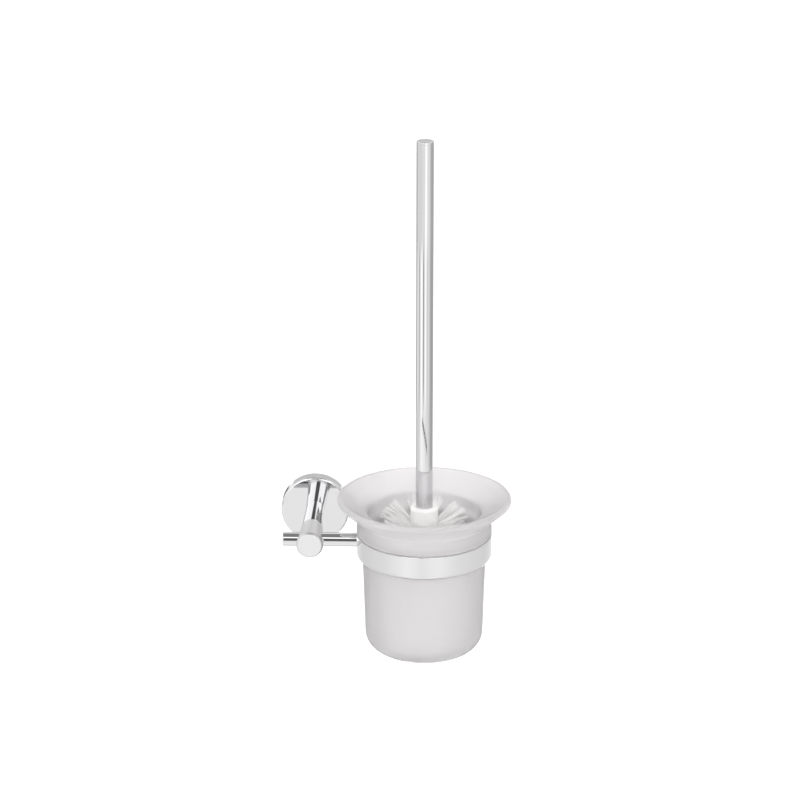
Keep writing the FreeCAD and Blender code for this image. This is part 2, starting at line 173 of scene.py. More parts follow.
# %% [markdown]
# ## The studio
#
# Polished chrome has hardly any colour of its own: what shows is the room. A plain white room makes
# it look like paper. A white tent with grey cards and a softbox in it makes it look like metal,
# because their edges draw the dark and bright lines along a rod.
#
# The tent is the world here, so it needs no mesh. Its brightness depends on the direction alone:
# how high that is, how far round from the front, and how far up and over the top.

# %% Directions in the tent
world = bpy.data.worlds.new("white_tent")
world.use_nodes = True
tent = world.node_tree
tent.nodes.clear()
direction = add_node(tent, "ShaderNodeTexCoord").outputs["Generated"]
right, to_wall, up = add_node(tent, "ShaderNodeSeparateXYZ", {0: direction}).outputs
to_front = add_node(tent, "ShaderNodeMath", {0: to_wall, 1: -1.0}, operation="MULTIPLY").outputs[0]

angles = []
for operation, parts in (
    ("ARCSINE", (up,)), ("ARCTAN2", (right, to_front)), ("ARCTAN2", (up, to_front)),
):
    radians = add_node(tent, "ShaderNodeMath", dict(enumerate(parts)), operation=operation)
    degrees = add_node(tent, "ShaderNodeMath", {0: radians.outputs[0]}, operation="DEGREES")
    angles.append(degrees.outputs[0])
# Up from the horizon, round from the front with right positive, and up and over from the front.
height, turn, over = angles

# %% [markdown]
# A card, a slot or a gap is a patch of directions with soft edges. Each edge is a smooth step from
# 0 to 1, and the steps of all its edges are multiplied.

# %% Patches of directions
ABOVE, BELOW = 1, -1


def patch(*edges):
    """1 inside all edges, 0 outside. An edge is a value, where it is, its softness and a side."""
    inside = 1.0
    for value, edge, soft, side in edges:
        step = add_node(tent, "ShaderNodeMapRange", {
            "Value": value, "From Min": edge - side * soft, "From Max": edge + side * soft,
        }, interpolation_type="SMOOTHSTEP")
        inside = add_node(
            tent, "ShaderNodeMath", {0: inside, 1: step.outputs[0]}, operation="MULTIPLY",
        ).outputs[0]
    return inside


def between(value, low, high, soft):
    """The two edges of a band."""
    return (value, low, soft, ABOVE), (value, high, soft, BELOW)


def grey(level):
    """A brightness as a colour without hue. Above 1 it is brighter than white paper."""
    return (level, level, level, 1.0)


# %% [markdown]
# An upright rod mirrors every direction round the tent but hardly more than one height. So the
# cards stand in rows, one row above the other, and the handle shows the high row at its top and
# the low row at its foot. A row is a ramp: degrees round from the front, and the brightness there.
# Under the rows lies cloth, and over them is plain tent.

# %% Rows of cards
CLOTH = (
    (-180, 1.0), (-123, 1.0), (-97, 1.10), (-70, 1.17), (-28, 1.40), (-2, 1.28), (26, 1.38),
    (66, 1.17), (97, 1.10), (123, 1.02), (180, 1.0),
)
LOW_CARDS = (
    (-180, 0.5), (-152, 0.6), (-119, 0.97), (-96, 1.02), (-78, 1.08), (-62, 1.25), (-47, 1.52),
    (-19, 1.42), (-5, 1.40), (8, 1.32), (22, 1.13), (36, 1.25), (51, 1.02), (66, 0.98), (83, 0.68),
    (104, 0.56), (130, 0.66), (180, 0.8),
)
MIDDLE_CARDS = (
    (-180, 0.3), (-150, 0.2), (-122, 1.0), (-96, 1.4), (-78, 0.6), (-62, 1.15), (-48, 1.66),
    (-31, 1.7), (-19, 0.35), (-5, 1.10), (8, 1.7), (22, 1.45), (36, 0.9), (51, 1.22), (66, 1.0),
    (83, 0.66), (104, 0.56), (130, 0.62), (180, 0.7),
)
HIGH_CARDS = (
    (-180, 0.3), (-150, 0.15), (-124, 0.85), (-96, 1.12), (-62, 1.06), (-32, 1.16), (-19, 1.20),
    (-5, 1.14), (8, 1.70), (22, 1.66), (36, 1.16), (51, 1.20), (66, 1.10), (83, 0.69), (104, 0.62),
    (130, 0.64), (180, 0.5),
)
PLAIN_TENT = 1.28
# Each row with the height of its lower edge and how soft that edge is, in degrees.
ROWS_UPWARDS = (
    (CLOTH, -95.0, 0.3),
    (LOW_CARDS, -20.7, 0.1),
    (MIDDLE_CARDS, -19.4, 0.5),
    (HIGH_CARDS, -16.4, 0.4),
)
TOP_OF_CARDS, TOP_SOFTNESS = -8.0, 3.0

share_of_circle = add_node(
    tent, "ShaderNodeMath", {0: turn, 1: 1 / 360, 2: 0.5}, operation="MULTIPLY_ADD",
).outputs[0]
layers = []
for stops, lower_edge, softness in ROWS_UPWARDS:
    row = add_node(tent, "ShaderNodeValToRGB", {0: share_of_circle})
    while len(row.color_ramp.elements) < len(stops):
        row.color_ramp.elements.new(0.5)
    for element, (degrees, level) in zip(row.color_ramp.elements, stops):
        element.position = degrees / 360 + 0.5
        element.color = grey(level)
    layers.append((patch((height, lower_edge, softness, ABOVE)), "MIX", row.outputs["Color"]))
layers.append((patch((height, TOP_OF_CARDS, TOP_SOFTNESS, ABOVE)), "MIX", grey(PLAIN_TENT)))
print("rows of cards:", len(ROWS_UPWARDS))

# %% [markdown]
# On top of the rows come single shapes. A softbox in front gives the broad white lines. The slot
# that the lens looks through and the gap overhead give the dark ones. The back of the tent is
# dimmer, so that a flat top isn't lost against the white. A thin rod of the tent's frame leans a
# little, as such rods do.

# %% Single shapes
# Height, turn and over are in degrees, and right runs from -1 to 1.
ROD_HEIGHT, ROD_LEAN, ROD_HALF_WIDTH = -19.96, 0.0088, 0.08
height_from_lean = add_node(
    tent, "ShaderNodeMath", {0: turn, 1: ROD_LEAN, 2: height}, operation="MULTIPLY_ADD",
).outputs[0]
frame_rod = patch(
    *between(height_from_lean, ROD_HEIGHT - ROD_HALF_WIDTH, ROD_HEIGHT + ROD_HALF_WIDTH, 0.03),
    *between(turn, -30.0, 38.0, 2.0),
)
softbox = patch(*between(turn, -36.0, 36.0, 2.0), *between(height, -8.0, 52.0, 1.0))
gap_overhead = patch(*between(over, 54.0, 126.0, 3.0), *between(right, -0.4, 0.4, 0.1))
tent_back = patch((over, 157.0, 3.0, ABOVE))
lens_slot = patch(*between(turn, -9.0, 9.0, 1.0), *between(height, 18.0, 36.0, 0.8))
slot_below_lens = patch(*between(turn, -6.0, 0.0, 1.0), *between(height, -9.0, 18.0, 0.8))
both_slots = add_node(
    tent, "ShaderNodeMath", {0: lens_slot, 1: slot_below_lens}, operation="ADD",
).outputs[0]
layers += [
    (frame_rod, "MULTIPLY", grey(0.1)),
    (softbox, "ADD", grey(1.0)),
    (gap_overhead, "MULTIPLY", grey(0.26)),
    (tent_back, "MULTIPLY", grey(0.62)),
    (both_slots, "MULTIPLY", grey(0.08)),
]

mirrored = grey(0.0)
for where, blend, brightness in layers:
    mirrored = add_node(
        tent, "ShaderNodeMix", {"Factor": where, COLOUR_A: mirrored, COLOUR_B: brightness},
        data_type="RGBA", blend_type=blend,
    ).outputs[MIXED_COLOUR]
print("layers in the tent:", len(layers))

# %% [markdown]
# Cards and slots would also put stripes on the glass, where a real one shows none, because its
# skin blurs them. So only mirrored light comes from the layers. Polished metal shows them sharply,
# and a rough surface blurs them away. All other light is plain: even, with more from the front and
# low down, and a little more from straight above.

# %% Mirrored light and all other light
EVEN_LIGHT = 1.11
FRONT_LIGHT = 0.5
TOP_LIGHT = 0.12
low_down = patch((up, 0.25, 0.35, BELOW))
from_front = add_node(
    tent, "ShaderNodeMath", {0: to_front, 1: low_down}, operation="MULTIPLY",
).outputs[0]
from_top = patch((up, 0.6, 0.3, ABOVE))
lighting = EVEN_LIGHT
for source, strength in ((from_front, FRONT_LIGHT), (from_top, TOP_LIGHT)):
    lighting = add_node(
        tent, "ShaderNodeMath", {0: source, 1: strength, 2: lighting}, operation="MULTIPLY_ADD",
    ).outputs[0]

light_path = add_node(tent, "ShaderNodeLightPath")
mirrored_light = add_node(tent, "ShaderNodeBackground", {"Color": mirrored})
other_light = add_node(
    tent, "ShaderNodeBackground", {"Color": linear("FFFEFE"), "Strength": lighting},
)
light = add_node(tent, "ShaderNodeMixShader", {
    0: light_path.outputs["Is Glossy Ray"], 1: other_light.outputs[0], 2: mirrored_light.outputs[0],
})
add_node(tent, "ShaderNodeOutputWorld", {"Surface": light.outputs[0]})
bpy.context.scene.world = world
print("world:", len(tent.nodes), "nodes")


# %% [markdown]
# The floor is a pale plane well below the object, as under a fitting that hangs on a wall. It
# glows a little, so it stays white behind the object. Only the camera sees it: metal mirrors the
# tent's cloth there, and the glass is lit from below as if there were no floor.

# %% Floor
FLOOR_DROP = 0.45
FLOOR_SIZE = 30.0
FLOOR_GLOW = 0.25
floor_material = bpy.data.materials.new("floor_white_paint")
floor_material.use_nodes = True
shader = floor_material.node_tree.nodes["Principled BSDF"]
shader.inputs["Base Color"].default_value = linear("F4F3F2")
shader.inputs["Roughness"].default_value = 0.9
shader.inputs["Emission Color"].default_value = linear("FFFFFF")
shader.inputs["Emission Strength"].default_value = FLOOR_GLOW

bm = bmesh.new()
bmesh.ops.create_grid(bm, x_segments=1, y_segments=1, size=FLOOR_SIZE / 2)
bmesh.ops.translate(bm, verts=bm.verts, vec=(0, 0, cad_box[0][2] - FLOOR_DROP))
floor_mesh = bpy.data.meshes.new("floor")
bm.to_mesh(floor_mesh)
bm.free()
floor_mesh.materials.append(floor_material)
floor = bpy.data.objects.new("floor", floor_mesh)
floor.visible_glossy = False
floor.visible_diffuse = False
floor.visible_transmission = False
bpy.context.scene.collection.objects.link(floor)
print("floor", round(FLOOR_DROP, 2), "m below the cup")


# %% [markdown]
# The dished rim catches the light from above and shades the cup below it. One large soft light
# low in front gives some of that light back to the cup's body. It is a light, not a card, so it
# needs no mesh, and metal doesn't mirror it.

# %% Low front light
LIGHT_WIDTH = 0.9
LIGHT_WATTS = 2.0
LIGHT_PLACE = Vector((0.1, -1.5, -0.35))
low_light = bpy.data.objects.new("low_front_light", bpy.data.lights.new("low_front_light", "AREA"))
low_light.data.shape = "RECTANGLE"
low_light.data.size = LIGHT_WIDTH
low_light.data.size_y = LIGHT_WIDTH
low_light.data.energy = LIGHT_WATTS
low_light.location = LOOK_AT + LIGHT_PLACE
low_light.rotation_euler = (-LIGHT_PLACE).to_track_quat("-Z", "Y").to_euler()
low_light.visible_glossy = False
bpy.context.scene.collection.objects.link(low_light)
print("low light at", [round(v, 3) for v in low_light.location])


# %% [markdown]
# ## Materials
#
# Each one starts from what the real surface is and how it was made. No real surface is quite the
# same all over, so each has soft grains of two near tones, or a shallow relief, or both. The
# grains' size is given in millimetres and is fixed to the object.

# %% Helpers for finishes
def new_material(name, **values):
    """A material and its Principled shader. Values set the shader's own sockets."""
    material = bpy.data.materials.new(name)
    material.use_nodes = True
    shader = material.node_tree.nodes["Principled BSDF"]
    for key, value in values.items():
        shader.inputs[key.replace("_", " ")].default_value = value
    return material, shader


def grains(tree, grain_mm, detail=2.0, stretch=(1, 1, 1)):
    """A pattern from 0 to 1 whose grains are about grain_mm wide on the object."""
    place = add_node(tree, "ShaderNodeTexCoord").outputs["Object"]
    stretched = add_node(tree, "ShaderNodeMapping", {"Vector": place, "Scale": stretch})
    return add_node(tree, "ShaderNodeTexNoise", {
        "Vector": stretched.outputs[0], "Scale": 1 / (grain_mm * MM), "Detail": detail,
    }).outputs["Fac"]


def texture(shader, pattern, tones=None, relief=None):
    """Lets a pattern mix two near tones, or raise a relief with a strength and a depth in mm."""
    tree = shader.id_data
    if tones:
        dark, light = (linear(tone) for tone in tones)
        mixed = add_node(
            tree, "ShaderNodeMix", {"Factor": pattern, COLOUR_A: dark, COLOUR_B: light},
            data_type="RGBA",
        )
        tree.links.new(mixed.outputs[MIXED_COLOUR], shader.inputs["Base Color"])
    if relief:
        strength, depth_mm = relief
        raised = add_node(tree, "ShaderNodeBump", {
            "Height": pattern, "Strength": strength, "Distance": depth_mm * MM,
        })
        tree.links.new(raised.outputs[0], shader.inputs["Normal"])


# %% [markdown]
# **Chrome plate, polished.** Brass is polished, nickelled and chromed. Chrome returns a bit more
# than half of the light, slightly blue, and is so smooth that its lines stay sharp. Handling and
# cleaning leave faint wipe marks, which only show as a slight change of sharpness.

# %% Chrome
chrome, shader = new_material("polished_chrome_plate", Metallic=1.0)
wipe_marks = grains(shader.id_data, 9.0, detail=4.0, stretch=(1, 1, 0.25))
texture(shader, wipe_marks, tones=("CACACB", "CECDCE"))
gloss = add_node(shader.id_data, "ShaderNodeMapRange", {
    "Value": wipe_marks, "From Min": 0.35, "From Max": 0.7, "To Min": 0.015, "To Max": 0.035,
})
shader.id_data.links.new(gloss.outputs[0], shader.inputs["Roughness"])
print(chrome.name)

# %% [markdown]
# **Chrome plate, satin.** The head was blasted with fine glass beads before it was plated, so it
# mirrors nothing sharply and looks evenly pale. The beads' dents are finer than shown here: they
# are drawn a third of a millimetre wide.

# %% Satin chrome
satin_chrome, shader = new_material(
    "bead_blasted_chrome_plate", Metallic=1.0, Roughness=0.45, Base_Color=linear("CECDCE"),
)
texture(shader, grains(shader.id_data, 0.3), relief=(0.05, 0.01))
print(satin_chrome.name)

# %% [markdown]
# **Frosted glass.** The cup is pressed soda-lime glass, dipped in acid. The etched skin blurs what
# passes through, so the glass shows only soft shapes behind it. Most of the light goes on through
# the wall: that is transmission with a rough surface. The rest wanders a few millimetres inside
# the wall and comes out again, so thin edges glow and no shadow on the glass is hard. That is
# subsurface scattering.

# %% Frosted glass
frosted, shader = new_material(
    "acid_frosted_glass", Roughness=0.62, IOR=1.5, Transmission_Weight=0.7, Specular_IOR_Level=0.35,
    Subsurface_Weight=1.0, Subsurface_Radius=(1.0, 1.0, 1.0), Subsurface_Scale=3 * MM,
)
texture(shader, grains(shader.id_data, 14.0), tones=("FDFAFC", "FEFCFD"))
texture(shader, grains(shader.id_data, 0.35, detail=3.0), relief=(0.15, 0.02))
print(frosted.name)

# %% [markdown]
# **Moulded polypropylene, white.** The collar and the brush's core come out of a polished mould,
# with a soft sheen and a trace of flow in the surface. A little light goes under the skin.

# %% White plastic
white_plastic, shader = new_material(
    "moulded_white_polypropylene", Roughness=0.32, IOR=1.49,
    Subsurface_Weight=0.15, Subsurface_Radius=(1.0, 1.0, 1.0), Subsurface_Scale=2 * MM,
)
flow_marks = grains(shader.id_data, 2.5, detail=3.0)
texture(shader, flow_marks, tones=("F0F0EF", "F4F4F3"), relief=(0.1, 0.05))
print(white_plastic.name)

# %% [markdown]
# **Nylon, drawn.** A bristle is smooth along its length and milky. It is far too thin for anyone
# to see what the light does inside it, so it is a plain pale surface with a slight gloss.

# %% Nylon
nylon, shader = new_material("drawn_nylon_filament", Roughness=0.4, IOR=1.53)
texture(shader, grains(shader.id_data, 1.2, detail=1.0), tones=("F7F7F6", "FBFBFA"))
print(nylon.name)

# %% [markdown]
# **Soft clear vinyl.** The sleeve between the ring and the glass is thin, soft and a little
# cloudy.

# %% Clear vinyl
vinyl, shader = new_material("soft_clear_vinyl", Roughness=0.25, IOR=1.53, Transmission_Weight=0.4)
texture(shader, grains(shader.id_data, 3.0), tones=("E0DEDD", "E9E7E6"))
print(vinyl.name)

# %% [markdown]
# **Stainless steel and brass, turned.** Hidden parts are left as the tool cut them. A cutting
# tool leaves marks a tenth of a millimetre apart, too fine to show here, so the marks are drawn
# half a millimetre apart.

# %% Turned metals
def turned_metal(name, tones, roughness):
    """A metal with the marks of a cutting tool."""
    material, shader = new_material(name, Metallic=1.0, Roughness=roughness)
    tool_marks = grains(shader.id_data, 0.5, detail=3.0)
    texture(shader, tool_marks, tones=tones, relief=(0.2, 0.02))
    return material


steel = turned_metal("turned_stainless_steel", ("8E8F91", "A6A7A8"), 0.32)
brass = turned_metal("turned_brass", ("C2A25E", "D0B06A"), 0.28)
print(steel.name, brass.name)


# %% [markdown]
# ## The lathe
#
# A turned piece is an outline swept round an axis. The outline is drawn as a few corners, each
# with its radius, its place along the axis and how much it is rounded. Rounding a corner of a
# wire is a vertex bevel: the arc of radius r starts r * tan(turn / 2) before the corner, where
# turn is how far the outline bends there. Then the wire is spun through a full circle, and the
# ends merge. An outline that starts and ends on the axis makes a solid, and a closed outline
# makes a ring or a tube.
#
# The piece is turned about Z and laid on its own axis at the end, and its normals are made to
# point outwards after the poles are merged.

# %% Lathe
ARC_STEP = 0.16
MERGE_WITHIN = 0.002 * MM
SHARP_EDGE = math.radians(28)
AXIS_TURN = {
    "Z": Matrix.Identity(4),
    "X": Matrix.Rotation(math.radians(90), 4, "Y"),
    "Y": Matrix.Rotation(math.radians(-90), 4, "X"),
}


def outline_wire(bm, corners, closed):
    """The outline as rounded wire in the XZ plane."""
    verts = [bm.verts.new((radius, 0.0, along)) for radius, along, _ in corners]
    count = len(verts)
    for index in range(count if closed else count - 1):
        bm.edges.new((verts[index], verts[(index + 1) % count]))
    for index, (vert, (_, _, rounding)) in enumerate(zip(verts, corners)):
        if not rounding:
            continue
        before = Vector(corners[index - 1][:2]) - Vector(corners[index][:2])
        after = Vector(corners[(index + 1) % count][:2]) - Vector(corners[index][:2])
        bend = math.pi - before.angle(after)
        bmesh.ops.bevel(
            bm, geom=[vert], offset=rounding * math.tan(bend / 2),
            segments=max(3, round(bend / ARC_STEP)), affect="VERTICES", profile=0.5, material=-1,
        )


def finish_piece(name, bm, material):
    """The bmesh as an object of the scene, smooth except at sharp edges."""
    mesh = bpy.data.meshes.new(name)
    bm.to_mesh(mesh)
    bm.free()
    mesh.polygons.foreach_set("use_smooth", [True] * len(mesh.polygons))
    mesh.set_sharp_from_angle(angle=SHARP_EDGE)
    mesh.materials.append(material)
    piece = bpy.data.objects.new(name, mesh)
    bpy.context.scene.collection.objects.link(piece)
    return piece


def turned(name, corners, material, axis="Z", through=(0, 0, 0), closed=False, steps=128):
    """Turns an outline. Corners are (radius, along, rounding). Through is a point on the axis."""
    bm = bmesh.new()
    outline_wire(bm, corners, closed)
    bmesh.ops.spin(
        bm, geom=bm.verts[:] + bm.edges[:], cent=(0, 0, 0), axis=(0, 0, 1), angle=math.tau,
        steps=steps, use_merge=True,
    )
    bmesh.ops.remove_doubles(bm, verts=bm.verts, dist=MERGE_WITHIN)
    bmesh.ops.recalc_face_normals(bm, faces=bm.faces)
    bmesh.ops.transform(bm, matrix=Matrix.Translation(through) @ AXIS_TURN[axis], verts=bm.verts)
    piece = finish_piece(name, bm, material)
    weights = piece.modifiers.new("flat_faces_stay_flat", "WEIGHTED_NORMAL")
    weights.keep_sharp = True
    print(f"{name}: {len(piece.data.polygons)} faces")
    return piece


def hand_over(piece, body, node):
    """The piece rides on a body and stands for a measured node, which it hides."""
    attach(piece, body)
    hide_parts(node)


# %% [markdown]
# ## Wall flange
#
# The flange is a shallow cover drawn from sheet brass, so it is a shell, with a rounded outer
# edge where the sheet was drawn over the tool. Its outline goes round the inside too, because it
# is hollow from behind, and leaves a hole in the middle for the post's screw.

# %% Flange
FLANGE_WALL = 1.6 * MM
FLANGE_EDGE = 1.3 * MM
FLANGE_RIM = 0.25 * MM
FLANGE_INNER_CORNER = 0.5 * MM
POST_SCREW_WAY = 3.05 * MM
flange_front = reach("wall_flange", "Y")[0]
flange_radius = radius_of("wall_flange", "X")

wall_flange = turned("wall_flange_cover", [
    (flange_radius, 0.0, FLANGE_RIM),
    (flange_radius, flange_front, FLANGE_EDGE),
    (POST_SCREW_WAY, flange_front, 0.0),
    (POST_SCREW_WAY, flange_front + FLANGE_WALL, 0.0),
    (flange_radius - FLANGE_WALL, flange_front + FLANGE_WALL, FLANGE_INNER_CORNER),
    (flange_radius - FLANGE_WALL, 0.0, FLANGE_RIM),
], chrome, axis="Y", closed=True, steps=160)
hand_over(wall_flange, "wall_mount", "wall_flange")

# %% [markdown]
# ## Post and head
#
# The post is a rod, slightly thicker in front, with a threaded bore at the wall and a spigot that
# carries the head. The head is a separate turned piece that flares from the post to a bevelled
# disc. Both have a small rounding where they meet, which leaves a fine groove between them.

# %% Post
POST_WAIST = 6.8 * MM
POST_BORE_DEPTH = 12 * MM
SPIGOT_RADIUS = 4.0 * MM
SPIGOT_EDGE = 0.5 * MM
JOINT_EDGE = 0.1 * MM
post_front, post_back = reach("post_head", "Y")[1], reach("post", "Y")[1]
spigot_end = reach("post", "Y")[0]
post_radius = radius_of("post", "X")
post = turned("post_rod", [
    (0.0, post_back - POST_BORE_DEPTH, 0.0),
    (POST_SCREW_WAY, post_back - POST_BORE_DEPTH, 0.0),
    (POST_SCREW_WAY, post_back, 0.0),
    (POST_WAIST, post_back, JOINT_EDGE),
    (post_radius, post_front, JOINT_EDGE),
    (SPIGOT_RADIUS, post_front, 0.0),
    (SPIGOT_RADIUS, spigot_end, SPIGOT_EDGE),
    (0.0, spigot_end, 0.0),
], chrome, axis="Y")
hand_over(post, "wall_mount", "post")

# %% Head
HEAD_BEVEL = 1.2 * MM
HEAD_BEVEL_DEPTH = 1.5 * MM
HEAD_OUTER_EDGE = 0.7 * MM
HEAD_FACE_EDGE = 0.5 * MM
head_front = reach("post_head", "Y")[0]
head_radius = radius_of("post_head", "X")
head = turned("post_head_flared", [
    (SPIGOT_RADIUS, post_front, 0.0),
    (post_radius, post_front, JOINT_EDGE),
    (head_radius, head_front + HEAD_BEVEL_DEPTH, HEAD_OUTER_EDGE),
    (head_radius - HEAD_BEVEL, head_front, HEAD_FACE_EDGE),
    (0.0, head_front, 0.0),
    (0.0, spigot_end, 0.0),
    (SPIGOT_RADIUS, spigot_end, 0.0),
], satin_chrome, axis="Y", closed=True)
hand_over(head, "wall_mount", "post_head")

# %% [markdown]
# ## Bar
#
# The bar is a plain rod with a small rounding at its free end and a threaded bore at the other,
# where the ring's screw goes in. The real end is milled to the ring's curve. Here it is flat and
# reaches as far as the milled one does, so it hides in the ring's wall and needs no boolean.

# %% Bar
BAR_EDGE = 0.7 * MM
BAR_THREAD_RADIUS = 2.05 * MM
BAR_THREAD_DEPTH = 11 * MM
bar_start, bar_end = reach("crossbar", "X")
bar_radius = radius_of("crossbar", "Z")
bar = turned("crossbar_rod", [
    (0.0, bar_start, 0.0),
    (bar_radius, bar_start, BAR_EDGE),
    (bar_radius, bar_end, 0.0),
    (BAR_THREAD_RADIUS, bar_end, 0.0),
    (BAR_THREAD_RADIUS, bar_end - BAR_THREAD_DEPTH, 0.0),
    (0.0, bar_end - BAR_THREAD_DEPTH, 0.0),
], chrome, axis="X", through=(0, cup_axis.y, 0), steps=96)
hand_over(bar, "wall_mount", "crossbar")

# %% [markdown]
# ## Ring
#
# The ring is a band of strip brass whose lower edge was rolled in to carry the glass, so its wall
# is the same all along. Its upper edge is only broken by polishing.

# %% Ring
RING_WALL = 1.8 * MM
RING_CORNER = 3.8 * MM
RING_LIP_FLAT = 0.2 * MM
RING_LIP_EDGE = 0.12 * MM
RING_OUTER_EDGE = 0.4 * MM
RING_INNER_EDGE = 0.3 * MM
ring_bottom, ring_top = reach("holder_ring", "Z")
ring_radius = radius_of("holder_ring", "X")
ring_lip = ring_radius - RING_CORNER - RING_LIP_FLAT
ring = turned("holder_ring_band", [
    (ring_lip, ring_bottom, RING_LIP_EDGE),
    (ring_radius, ring_bottom, RING_CORNER),
    (ring_radius, ring_top, RING_OUTER_EDGE),
    (ring_radius - RING_WALL, ring_top, RING_INNER_EDGE),
    (ring_radius - RING_WALL, ring_bottom + RING_WALL, RING_CORNER - RING_WALL),
    (ring_lip, ring_bottom + RING_WALL, RING_LIP_EDGE),
], chrome, through=(*cup_axis, 0), closed=True, steps=192)
hand_over(ring, "wall_mount", "holder_ring")

# %% [markdown]
# ## Glass cup
#
# The cup was pressed: hot glass between a mould and a plunger. That makes a thick wall with soft
# corners everywhere: a wide dished rim, a crease below it, a bulge that hangs on the ring and a
# long body with a big rounded foot. The underside is a little hollow, so the cup stands on a
# narrow ring.

# %% Cup
RIM_THICKNESS = 3.2 * MM
RIM_EDGE = 1.5 * MM
CUP_WALL = 3.5 * MM
CUP_FLOOR = 5.0 * MM
CUP_TAPER = 2.1 * MM
NECK_CLEARANCE = 0.3 * MM
SHOULDER_ABOVE_RING = 0.7 * MM
SHOULDER_EDGE = 1.2 * MM
BULGE_TOP, BULGE_ROUNDING = 11.0 * MM, 6.0 * MM
CREASE_LEVEL, CREASE_DEPTH, CREASE_ROUNDING = 17.7 * MM, 1.4 * MM, 1.6 * MM
THROAT_LEVEL, THROAT_ROUNDING = 22.6 * MM, 3.0 * MM
FOOT_ROUNDING = 13.0 * MM
FOOT_RING_EDGE, FOOT_RING_WIDTH = 1.5 * MM, 4.0 * MM
PUNT_DEPTH, PUNT_ROUNDING = 1.2 * MM, 6.0 * MM

cup_low, cup_rim = reach("glass_cup", "Z")
rim_radius = radius_of("glass_cup", "X")
neck_radius = ring_lip - NECK_CLEARANCE
foot_radius = neck_radius - CUP_TAPER
shoulder = ring_top + SHOULDER_ABOVE_RING
cup = turned("frosted_glass_cup", [
    (0.0, cup_low + PUNT_DEPTH, 0.0),
    (foot_radius - FOOT_ROUNDING - FOOT_RING_WIDTH, cup_low + PUNT_DEPTH, PUNT_ROUNDING),
    (foot_radius - FOOT_ROUNDING, cup_low, FOOT_RING_EDGE),
    (foot_radius, cup_low, FOOT_ROUNDING),
    (neck_radius, ring_bottom, 0.0),
    (neck_radius, shoulder, 0.0),
    (ring_radius, shoulder, SHOULDER_EDGE),
    (ring_radius, BULGE_TOP, BULGE_ROUNDING),
    (ring_radius - CREASE_DEPTH, CREASE_LEVEL, CREASE_ROUNDING),
    (rim_radius, cup_rim - RIM_THICKNESS, RIM_EDGE),
    (rim_radius, cup_rim, RIM_EDGE),
    (rim_radius - RIM_THICKNESS, cup_rim, RIM_EDGE),
    (neck_radius - CUP_WALL, THROAT_LEVEL, THROAT_ROUNDING),
    (neck_radius - CUP_WALL, ring_bottom, 0.0),
    (foot_radius - CUP_WALL, cup_low + CUP_FLOOR, FOOT_ROUNDING - CUP_WALL),
    (0.0, cup_low + CUP_FLOOR, 0.0),
], frosted, through=(*cup_axis, 0), steps=192)
hand_over(cup, "cup", "glass_cup")

# %% [markdown]
# ## Handle
#
# The handle is a drawn tube with a flat cap pressed in its top. Cap and tube are polished as one,
# so only a hairline shows between them. The collar is a moulded cup round the tube's foot.

# %% Tube
TUBE_WALL = 1.0 * MM
TUBE_FOOT_EDGE = 0.2 * MM
HAIRLINE_EDGE = 0.12 * MM
tube_low, tube_high = reach("handle_tube", "Z")
tube_radius = radius_of("handle_tube", "X")
tube = turned("handle_tube_drawn", [
    (tube_radius - TUBE_WALL, tube_low, 0.0),
    (tube_radius, tube_low, TUBE_FOOT_EDGE),
    (tube_radius, tube_high, HAIRLINE_EDGE),
    (tube_radius - TUBE_WALL, tube_high, 0.0),
], chrome, through=(*cup_axis, 0), closed=True, steps=96)
hand_over(tube, "brush", "handle_tube")

# %% Cap
PLUG_CLEARANCE = 0.05 * MM
PLUG_EDGE = 0.4 * MM
CAP_EDGE = 0.45 * MM
cap_low, cap_high = reach("handle_cap", "Z")
plug_radius = tube_radius - TUBE_WALL - PLUG_CLEARANCE
cap = turned("handle_cap_flat", [
    (0.0, cap_low, 0.0),
    (plug_radius, cap_low, PLUG_EDGE),
    (plug_radius, tube_high, 0.0),
    (tube_radius, tube_high, HAIRLINE_EDGE),
    (tube_radius, cap_high, CAP_EDGE),
    (0.0, cap_high, 0.0),
], chrome, through=(*cup_axis, 0), steps=96)
hand_over(cap, "brush", "handle_cap")

# %% Collar
COLLAR_FLOOR = 2.0 * MM
COLLAR_FOOT_EDGE = 0.3 * MM
COLLAR_TOP_EDGE = 2.2 * MM
STUD_WAY = 2.55 * MM
SOCKET_GAP = 0.05 * MM
SOCKET_EDGE = 0.3 * MM
collar_low, collar_high = reach("handle_collar", "Z")
collar_radius = radius_of("handle_collar", "X")
collar = turned("handle_collar_moulded", [
    (STUD_WAY, collar_low, 0.0),
    (collar_radius, collar_low, COLLAR_FOOT_EDGE),
    (collar_radius, collar_high, COLLAR_TOP_EDGE),
    (tube_radius + SOCKET_GAP, collar_high, SOCKET_EDGE),
    (tube_radius + SOCKET_GAP, collar_low + COLLAR_FLOOR, 0.0),
    (STUD_WAY, collar_low + COLLAR_FLOOR, 0.0),
], white_plastic, through=(*cup_axis, 0), closed=True, steps=96)
hand_over(collar, "brush", "handle_collar")

# %% [markdown]
# ## Bristles
#
# A tuft is about thirty filaments, stapled into a drilled hole. They leave the hole tight together
# and spread out like a paintbrush, each a little bent. The rows of holes fan out, so the brush is
# round at both ends.
#
# One filament is modelled once, as a straight three-sided rod, and every bristle is a copy of it,
# stretched, bent, turned and leaned by its own amount. Three sides are enough, because a filament
# is thinner than half a millimetre. The random numbers come from one seeded source.

# %% One filament
FILAMENT_RADIUS = 0.19 * MM
FILAMENT_STEPS = 4


